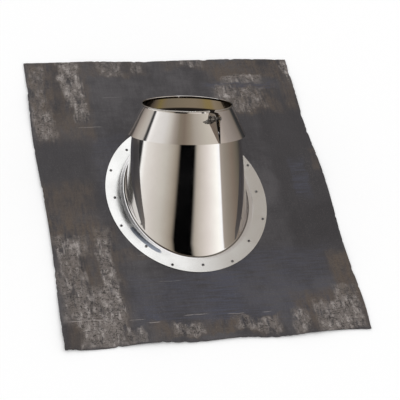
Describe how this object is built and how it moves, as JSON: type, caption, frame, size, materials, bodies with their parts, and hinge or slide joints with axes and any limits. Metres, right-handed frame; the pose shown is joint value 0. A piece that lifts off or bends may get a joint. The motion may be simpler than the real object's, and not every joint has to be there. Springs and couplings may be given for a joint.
{
  "type": "pipe flashing boot",
  "caption": "Roof flashing for a round flue pipe: a lead sheet with a riveted, slanted steel cone and a clamped storm collar on top.",
  "frame": {"origin": "centre of the lead sheet's outline, on its underside", "axes": "+Y up the roof slope, along the sheet's long side; +Z is the sheet's upper normal; the pipe axis leans from +Z towards +Y by the roof pitch of 37 degrees"},
  "size_m": [0.7083, 0.8686, 0.2461],
  "materials": {
    "lead": "matt dark grey, with paler oxide stains",
    "polished_steel": "mirror polished",
    "ring_steel": "bright mill finish",
    "fastener_steel": "bright"
  },
  "bodies": {
    "root": {"lead_sheet": "lead", "boot_cone": "polished_steel", "flange_ring": "ring_steel", "rivets": "fastener_steel", "storm_collar": "polished_steel", "clamp_bolt": "fastener_steel", "clamp_washers": "fastener_steel", "wing_nut": "fastener_steel"}
  },
  "joints": []
}
